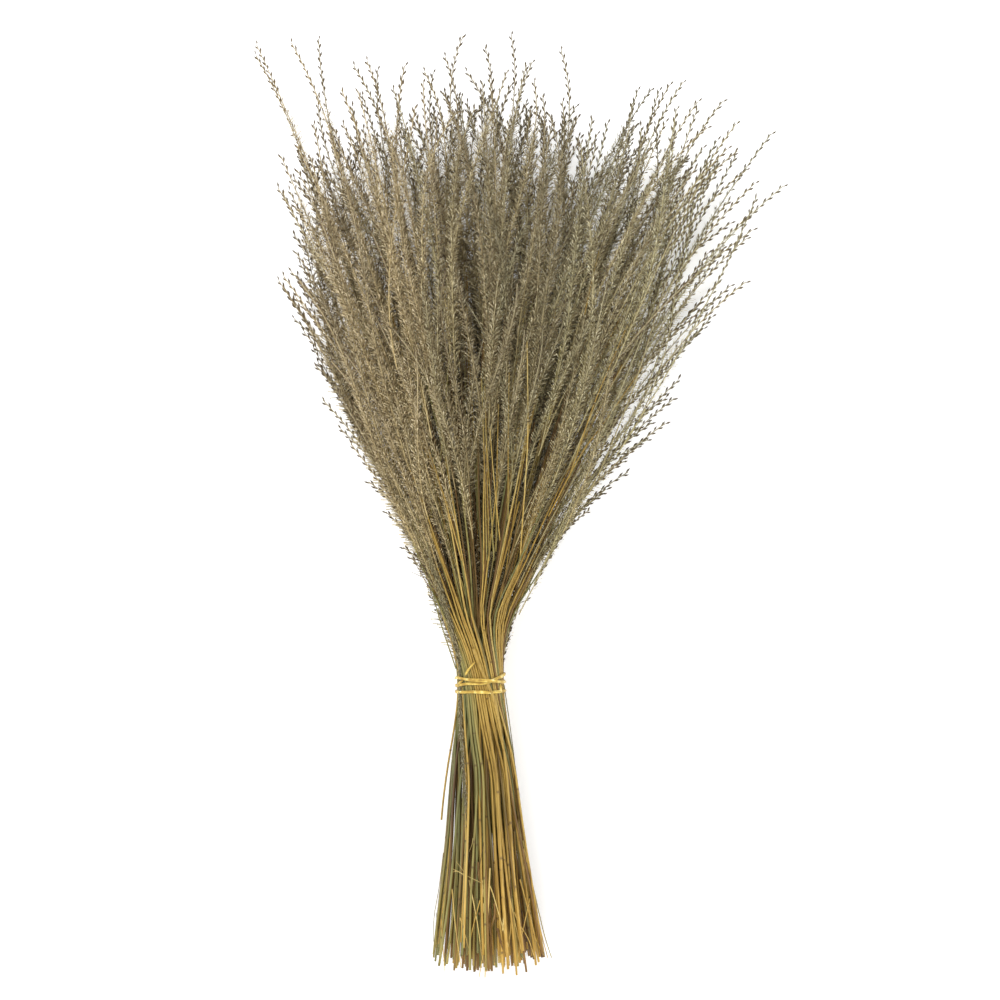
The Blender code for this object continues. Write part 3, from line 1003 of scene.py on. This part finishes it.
by_head = {name: [] for name, *_ in heads}
for route, kind, tip_deep in spikes:
    middle = route[15]
    ends = place(np.array((-1.0, 1.0)), 0, np.array((middle[1], middle[1])))[:, 0]
    body = (2 * middle[0] - ends.sum()) / (ends[1] - ends[0])
    near = min(heads, key=lambda head: (
        len(by_head[head[0]]) >= HEAD_SLOTS,
        ((body - head[1]) * 8) ** 2 + ((tip_deep - head[2]) * 3) ** 2,
    ))
    by_head[near[0]].append((route, kind))

for name, *_ in heads:
    shapes = []
    for slot, (route, kind) in enumerate(by_head[name]):
        length = np.linalg.norm(np.diff(route, axis=0), axis=1).sum()
        nearest = int(np.argmin(np.abs(np.array(SPIKE_LENGTHS) - length)))
        mesh, corners = SPIKE_SHAPES[kind][nearest]
        corners = corners * (1, 1, length / SPIKE_LENGTHS[nearest])
        points = above_table(bend_along(corners, route, dice.uniform(-0.6, 0.6) + math.pi / 2))
        middle_x = route[13, 0]
        tint = np.clip(0.40 + middle_x * 4.0 + dice.normal(0, 0.2), 0, 1)
        # Inner spikes are 15 % darker: painted shade deep between the spikes
        shade = np.clip(dice.normal(0.97, 0.13), 0.65, 1.25) * (0.85 if kind == "inner" else 1)
        shade *= 1 + 0.22 * ease((abs(middle_x) - 0.04) / 0.06) * (kind != "inner")
        shapes.append((
            mesh, points, (slot / HEAD_SLOTS, 1 / HEAD_SLOTS), {"tint": tint, "shade": shade},
        ))
    spray = strew(name + "_spikes", shapes)
    show(name + "_spikes", spray, CHAFF, [name])


# Tie
# One strand of yellow raffia, a dried palm leaf split fine and twisted by hand. It is wound three
# times round the waist, each end is tucked under a turn, and the last turn crosses the second.

CORD_WIDTH = 0.0026
CORD_THICKNESS = 0.0013
CORD_OUT = 0.0004
CROSSING = -638
CROSSING_HALF = 52
CROSSING_LIFT = 0.0016
# The cord's way: degrees turned round the waist, from its right side over its top, and Y
CORD_ROUTE = (
    (240, -0.1534), (180, -0.1508), (0, -0.1504), (-180, -0.1460), (-270, -0.1434),
    (-360, -0.1366), (-540, -0.1396), (-720, -0.1428), (-820, -0.1432),
)
# The loose ends and the strands that come away: points in X and Y
CORD_ENDS = (
    ((-0.0424, -0.1372), (-0.0404, -0.1330), (-0.0372, -0.1290), (-0.0346, -0.1262)),
    ((-0.0488, -0.1446), (-0.0468, -0.1430), (-0.0446, -0.1416)),
    ((-0.0146, -0.1446), (-0.0142, -0.1476), (-0.0140, -0.1506)),
)


def cord_way():
    """The middle of the cord, point by point."""
    turned = np.linspace(CORD_ROUTE[0][0], CORD_ROUTE[-1][0], 400)
    y = np.empty(len(turned))
    for (first, first_y), (second, second_y) in zip(CORD_ROUTE, CORD_ROUTE[1:]):
        here = (turned <= first) & (turned >= second)
        y[here] = first_y + (second_y - first_y) * ease((first - turned[here]) / (first - second))
    y += 0.00025 * np.sin(np.radians(turned) * 4.3)
    lift = CROSSING_LIFT * ease(2 * (1 - np.abs(turned - CROSSING) / CROSSING_HALF))
    out = CORD_OUT + lift
    around = np.radians(turned)
    route = place(np.cos(around), np.sin(around), y)
    route[:, 0] += out * np.cos(around)
    route[:, 2] += out * np.sin(around)
    return route


def raffia_strand(route, width, thickness, slot, level):
    """A flat strand, slightly twisted, that follows the route with its flat side on the stems."""
    length = np.linalg.norm(np.diff(route, axis=0), axis=1).sum()
    tube = straight_tube(14, max(int(length / 0.0012), 8), hollow=False)
    corners = corners_of(tube)
    rings = corners[:, 2].max()
    around = np.arctan2(corners[:, 1], corners[:, 0])
    apart = np.hypot(corners[:, 0], corners[:, 1])
    along = corners[:, 2] / rings * length
    turned = 0.42 * np.sin(along * 190 + slot * 9) + 0.25 * np.sin(along * 71)
    swell = 1 + 0.14 * np.sin(along * 260 + 1) + 0.08 * np.sin(along * 610)
    narrow = 1 - 0.45 * ease(1 - np.minimum(along, length - along) / 0.002)
    creased = 1 + 0.10 * np.cos(5 * around + along * 40) + 0.06 * np.cos(9 * around + along * 150)
    flat_x = np.cos(around) * width / 2 * creased * swell
    flat_y = np.sin(around) * thickness / 2 * creased
    points = np.stack((
        (flat_x * np.cos(turned) - flat_y * np.sin(turned)) * apart * narrow,
        (flat_x * np.sin(turned) + flat_y * np.cos(turned)) * apart * narrow,
        along,
    ), axis=1)
    return (tube, bend_along(points, route, level=level), (slot, 0.24), {"twist": turned})


def make_raffia_finish():
    """Glossy yellow raffia with fibres along the strand, paler in patches here and there."""
    finish, tree, shader = new_finish("yellow_raffia")
    wrap = add_node(tree, "UVMap", uv_map="OFBake").outputs["UV"]
    drawn = add_node(tree, "Mapping", {"Vector": wrap, "Scale": (60, 26, 1)})
    fibre = add_node(
        tree, "TexNoise", {"Vector": drawn.outputs["Vector"], "Scale": 1, "Detail": 4},
    ).outputs["Fac"]
    inside = add_node(tree, "TexCoord").outputs["Object"]
    patch = add_node(tree, "TexNoise", {"Vector": inside, "Scale": 210, "Detail": 2}).outputs["Fac"]
    base = add_ramp(tree, patch, (
        (0.34, colour(176, 142, 52)),
        (0.50, colour(206, 174, 74)),
        (0.60, colour(220, 194, 98)),
        (0.72, colour(240, 228, 170)),
    ))
    lines = add_ramp(tree, fibre, ((0.36, (0.58, 0.50, 0.36, 1)), (0.54, (1.0, 1.0, 0.97, 1))))
    tree.links.new(add_mix(tree, "MULTIPLY", 0.85, base, lines), shader.inputs["Base Color"])
    rough = add_remap(tree, fibre, 0.3, 0.7, 0.65, 0.45)
    tree.links.new(rough, shader.inputs["Roughness"])
    bump = add_node(tree, "Bump", {"Height": fibre, "Strength": 0.6, "Distance": 0.0002})
    tree.links.new(bump.outputs["Normal"], shader.inputs["Normal"])
    shader.inputs["Sheen Weight"].default_value = 0.15
    return finish


def on_top(points, lift):
    """X and Y points laid on the upper side of the bunch, this far above it (one or one a point)."""
    points = np.array(points, dtype=float)
    steps = np.linspace(0, 1, len(points))
    fine = np.linspace(0, 1, 4 * len(points))
    x = np.interp(fine, steps, points[:, 0])
    y = np.interp(fine, steps, points[:, 1])
    middle = place(0, 0, y)
    edge = place(1, 1, y) - middle
    across = np.clip((x - middle[:, 0]) / edge[:, 0], -1, 1)
    up = np.sqrt(np.maximum(1 - across ** 2, 0.02))
    lift = np.interp(fine, steps, np.broadcast_to(lift, len(points)))
    return np.stack((x, y, middle[:, 2] + edge[:, 2] * OUTER_RING * up + STEM_RADIUS + lift), axis=1)


strands = [raffia_strand(cord_way(), CORD_THICKNESS, CORD_WIDTH, 0.0, (0.0, 1.0, 0.0))]
for slot, points in enumerate(CORD_ENDS):
    strands.append(raffia_strand(
        on_top(points, 0.0014), 0.0016, 0.0009, 0.25 * (slot + 1), (0.0, 0.0, 1.0),
    ))
show("tie_raffia", strew("tie_raffia", strands), make_raffia_finish(), ["tie"])


# Caught spike
# One loose spike of a flower head was caught under the tie. It is grey with age and lies down the
# front of the stems, its soft hairs rubbed short.

# Its way as Y, degrees round the bunch from its right side over its top, and share of the way out
CAUGHT_ROUTE = np.array((
    (-0.030, 131, 1.05), (-0.069, 133, 1.10), (-0.109, 140, 1.10), (-0.134, 145, 1.00),
    (-0.158, 147, 0.99), (-0.190, 128, 1.08), (-0.235, 117, 1.10), (-0.285, 111, 1.08),
))
steps = np.linspace(0, 1, len(CAUGHT_ROUTE))
fine = np.linspace(0, 1, 60)
y, turned, out = (np.interp(fine, steps, column) for column in CAUGHT_ROUTE.T)
route = place(out * np.cos(np.radians(turned)), out * np.sin(np.radians(turned)), y)
length = np.linalg.norm(np.diff(route, axis=0), axis=1).sum()
mesh, corners = SPIKE_SHAPES["full"][-1]
corners = corners * (1, 1, length / SPIKE_LENGTHS[-1])
squeeze = np.interp(
    corners[:, 2], (0, 0.05, 0.09, 0.11, 0.14, length), (0.70, 0.78, 0.55, 0.45, 0.60, 0.50),
)
corners[:, :2] *= squeeze[:, None]
flat_fur = [
    (mesh, bend_along(corners, route, roll), (slot, 1 / HEAD_SLOTS), {"tint": 0.7, "shade": 0.78})
    for slot, roll in ((0, 0.4), (1 / HEAD_SLOTS, 2.2))
]
show("caught_spike_hairs", strew("caught_spike_hairs", flat_fur), CHAFF, ["caught_spike"])


# Bare stalks and wisps
# Side stems with no head of their own rise between the spikes, thin and golden, and a few thin
# wisps hang loose beside the tie. They are straws like the rest, held only by the tie.

# Each is its points in X and Y, its radius, its tone and its height above the bunch
BARE_STALKS = (
    (((-0.0508, -0.0132), (-0.0876, 0.0748), (-0.1172, 0.1428)), 0.00060, 0.30, -0.0050),
    (((0.0012, -0.0452), (0.0028, -0.0172), (0.0076, 0.0508), (0.0064, 0.1268)), 0.00066, 0.12, -0.0010),
    (((-0.0252, -0.0452), (-0.0276, 0.0508), (-0.0292, 0.0980)), 0.00054, 0.44, -0.0030),
    (((-0.0232, -0.0452), (-0.0256, 0.0500), (-0.0268, 0.0924)), 0.00050, 0.40, -0.0030),
    (((-0.0180, -0.0380), (-0.0172, 0.0300), (-0.0160, 0.0780)), 0.00050, 0.40, -0.0040),
    (((-0.0700, -0.0116), (-0.0604, 0.0404), (-0.0532, 0.1380)), 0.00052, 0.52, -0.0050),
    (((0.0516, 0.1484), (0.0580, 0.1780), (0.0628, 0.1980)), 0.00052, 0.44, -0.0030),
    (((0.0396, 0.0204), (0.0604, 0.0828), (0.0852, 0.1396)), 0.00060, 0.34, 0.0010),
    (((0.0236, -0.0100), (0.0492, 0.0404), (0.0668, 0.0628), (0.0972, 0.1068)), 0.00060, 0.30, 0.0010),
    (((0.0236, 0.0644), (0.0300, 0.1052), (0.0332, 0.1252)), 0.00046, 0.44, -0.0020),
    (((-0.0084, -0.0132), (-0.0084, 0.0588), (-0.0076, 0.1028)), 0.00048, 0.42, -0.0020),
    (((-0.0452, -0.0452), (-0.0580, 0.0028), (-0.0708, 0.0428)), 0.00056, 0.24, -0.0010),
    (((-0.0148, -0.0292), (-0.0196, 0.0188), (-0.0228, 0.0588)), 0.00050, 0.18, -0.0010),
    (((-0.0196, -0.0452), (-0.0228, 0.0108), (-0.0260, 0.0572)), 0.00050, 0.46, -0.0010),
)
WISPS = (
    (((-0.0500, -0.1324), (-0.0644, -0.0900), (-0.0748, -0.0412)), 0.00058, 0.58, 0.0002),
    (
        ((-0.0116, -0.1452), (-0.0084, -0.1668), (-0.0040, -0.1988), (0.0012, -0.2452)),
        0.00046, 0.72, 0.0002,
    ),
    (
        ((-0.0120, -0.1492), (-0.0092, -0.1748), (-0.0060, -0.2052), (-0.0036, -0.2212)),
        0.00042, 0.30, 0.0002,
    ),
    (
        ((0.0036, -0.2708), (0.0084, -0.2932), (0.0156, -0.3252), (0.0212, -0.3492), (0.0268, -0.3660)),
        0.00062, 0.44, 0.0004,
    ),
    (((0.0044, -0.2772), (0.0100, -0.3012), (0.0172, -0.3412), (0.0236, -0.3660)), 0.00060, 0.16, 0.0006),
    (((0.0012, -0.3012), (0.0108, -0.3372), (0.0140, -0.3508), (0.0212, -0.3644)), 0.00058, 0.20, 0.0004),
    (
        ((-0.0604, -0.2812), (-0.0636, -0.3092), (-0.0684, -0.3332), (-0.0684, -0.3532), (-0.0668, -0.3620), (-0.0652, -0.3524), (-0.0660, -0.3292)),
        0.00034, 0.74, 0.0006,
    ),
    (((-0.0620, -0.3332), (-0.0604, -0.3572), (-0.0588, -0.3772)), 0.00046, 0.22, 0.0004),
    (
        ((-0.0236, -0.3044), (-0.0212, -0.3092), (-0.0148, -0.3316), (-0.0076, -0.3548)),
        0.00052, 0.06, 0.0012,
    ),
    (((-0.0036, -0.3268), (-0.0004, -0.3348), (0.0084, -0.3492), (0.0132, -0.3652)), 0.00050, 0.12, 0.0012),
    (
        ((-0.0228, -0.2916), (-0.0244, -0.3292), (-0.0260, -0.3572), (-0.0268, -0.3788)),
        0.00074, 0.08, 0.0010,
    ),
    (((-0.0252, -0.3412), (-0.0284, -0.3612), (-0.0316, -0.3788)), 0.00050, 0.10, 0.0014),
    (((-0.0468, -0.3316), (-0.0420, -0.3476), (-0.0380, -0.3628)), 0.00048, 0.10, 0.0010),
    (((-0.0060, -0.3212), (-0.0060, -0.3372), (-0.0076, -0.3532)), 0.00046, 0.14, 0.0010),
    (((-0.0308, -0.3172), (-0.0372, -0.3412), (-0.0404, -0.3612)), 0.00048, 0.20, 0.0010),
    (((-0.0396, -0.3012), (-0.0324, -0.3372), (-0.0292, -0.3636)), 0.00050, 0.04, 0.0006),
    (((-0.0548, -0.2676), (-0.0572, -0.3012), (-0.0612, -0.3292)), 0.00048, 0.16, 0.0006),
    (((-0.0532, -0.3092), (-0.0508, -0.3372), (-0.0460, -0.3716)), 0.00050, 0.10, 0.0006),
    (((0.0092, -0.3172), (0.0028, -0.3452), (-0.0012, -0.3692)), 0.00050, 0.18, 0.0006),
    (((-0.0124, -0.2772), (-0.0068, -0.3172), (0.0020, -0.3572)), 0.00050, 0.08, 0.0008),
)
THIN_TUBE = straight_tube(6, 20, hollow=False)
THIN_CORNERS = corners_of(THIN_TUBE)


def thin_straw(points, radius, tone, lift, slot, slots):
    """A thin bare straw that lies on the bunch and narrows to its end."""
    route = on_top(points, radius + lift)
    for _ in range(3):
        route[1:-1] = (route[:-2] + 2 * route[1:-1] + route[2:]) / 4
    length = np.linalg.norm(np.diff(route, axis=0), axis=1).sum()
    share = THIN_CORNERS[:, 2] / THIN_CORNERS[:, 2].max()
    here = radius * (1 - 0.4 * share)
    corners = np.stack(
        (THIN_CORNERS[:, 0] * here, THIN_CORNERS[:, 1] * here, share * length), axis=1,
    )
    wrap = ((slot + 0.04) / slots, 0.92 / slots)
    return (THIN_TUBE, bend_along(corners, route), wrap, {"tone": tone, "joint": 0.0})


thin_ones = BARE_STALKS + WISPS
show(
    "bare_stalks",
    strew("bare_stalks", [
        thin_straw(*one, slot, len(thin_ones)) for slot, one in enumerate(thin_ones)
    ]),
    STRAW, [],
)


# Scraps of sheath
# A grass leaf's sheath wraps its stem, and dries to brown paper. Most were stripped when the bunch
# was made; torn scraps and thin twigs are still caught between the stems low on the bunch.

SHEATHS = (
    (((-0.0324, -0.2868), (-0.0320, -0.2948), (-0.0312, -0.3028)), 0.00100, 0.84, 0.0006),
    (((-0.0296, -0.3012), (-0.0292, -0.3076), (-0.0284, -0.3148)), 0.00100, 0.02, 0.0008),
    (((-0.0280, -0.3196), (-0.0280, -0.3252), (-0.0292, -0.3300)), 0.00080, 0.02, 0.0008),
    (((-0.0192, -0.3196), (-0.0188, -0.3284), (-0.0212, -0.3380)), 0.00100, 0.80, 0.0008),
    (((-0.0308, -0.3268), (-0.0276, -0.3348), (-0.0300, -0.3444)), 0.00140, 0.86, 0.0002),
    (((-0.0228, -0.3236), (-0.0244, -0.3332), (-0.0220, -0.3460)), 0.00140, 0.84, 0.0004),
    (((-0.0112, -0.3284), (-0.0120, -0.3348), (-0.0128, -0.3420)), 0.00090, 0.03, 0.0006),
    (((-0.0172, -0.3396), (-0.0148, -0.3492), (-0.0124, -0.3572)), 0.00100, 0.90, 0.0002),
    (((0.0060, -0.2884), (0.0068, -0.2948), (0.0084, -0.3028)), 0.00080, 0.90, 0.0010),
    (((-0.0092, -0.3532), (-0.0084, -0.3620), (-0.0088, -0.3700)), 0.00100, 0.22, 0.0006),
)
TWIGS = (
    (
        ((-0.0540, -0.2924), (-0.0484, -0.2948), (-0.0412, -0.2980), (-0.0300, -0.3032)),
        0.00030, 0.02, 0.0016,
    ),
    (((-0.0500, -0.2868), (-0.0460, -0.2916), (-0.0420, -0.2972)), 0.00024, 0.04, 0.0018),
    (((-0.0532, -0.2956), (-0.0484, -0.2940), (-0.0436, -0.2980)), 0.00022, 0.02, 0.0018),
    (
        ((-0.0276, -0.2708), (-0.0316, -0.2916), (-0.0372, -0.3084), (-0.0420, -0.3164), (-0.0476, -0.3220)),
        0.00028, 0.96, 0.0012,
    ),
    (((-0.0476, -0.3212), (-0.0464, -0.3236), (-0.0460, -0.3284)), 0.00034, 0.94, 0.0012),
    (((-0.0364, -0.2676), (-0.0372, -0.2732), (-0.0396, -0.2788)), 0.00026, 0.02, 0.0010),
    (((-0.0700, -0.0692), (-0.0780, -0.0556), (-0.0852, -0.0428)), 0.00034, 0.84, 0.0006),
    (((-0.0780, -0.0556), (-0.0788, -0.0484), (-0.0812, -0.0428)), 0.00028, 0.84, 0.0008),
    (((-0.0756, -0.0596), (-0.0820, -0.0564), (-0.0860, -0.0548)), 0.00026, 0.88, 0.0008),
    (((0.0060, -0.2948), (0.0092, -0.3060), (0.0100, -0.3116)), 0.00034, 0.92, 0.0010),
)


# A flat stem that lies under the upper turns of the tie and over the lowest
FLAT_STEM = (
    ((-0.0356, -0.1156), (-0.0300, -0.1316), (-0.0244, -0.1444), (-0.0212, -0.1516), (-0.0188, -0.1588), (-0.0156, -0.1748), (-0.0124, -0.1908)),
    0.0017, 0.22, (0.0004, 0.0002, -0.0004, 0.0014, 0.0008, 0.0004, 0.0004),
)


def torn_sheath(points, half_width, tone, lift, slot, slots):
    """A narrow scrap of sheath, hollowed along its length and frayed to a point."""
    tube, corners, wrap, marks = thin_straw(points, 1.0, tone, 0.0, slot, slots)
    route = on_top(points, np.array(lift) + half_width * 0.4)
    length = np.linalg.norm(np.diff(route, axis=0), axis=1).sum()
    share = THIN_CORNERS[:, 2] / THIN_CORNERS[:, 2].max()
    frayed = half_width * (1 - 0.7 * ease((share - 0.6) / 0.4)) * (1 + 0.2 * np.sin(share * 23))
    side = THIN_CORNERS[:, 0] * frayed
    corners = np.stack((
        side, THIN_CORNERS[:, 1] * 0.00022 - (side / half_width) ** 2 * half_width * 0.6,
        share * length,
    ), axis=1)
    return (tube, bend_along(corners, route, 0.3 * math.sin(slot)), wrap, marks)


flat_ones = SHEATHS + (FLAT_STEM,)
slots = len(flat_ones) + len(TWIGS)
scraps = [torn_sheath(*one, slot, slots) for slot, one in enumerate(flat_ones)]
scraps += [thin_straw(*one, slot + len(flat_ones), slots) for slot, one in enumerate(TWIGS)]
show("sheath_scraps", strew("sheath_scraps", scraps), STRAW, [])
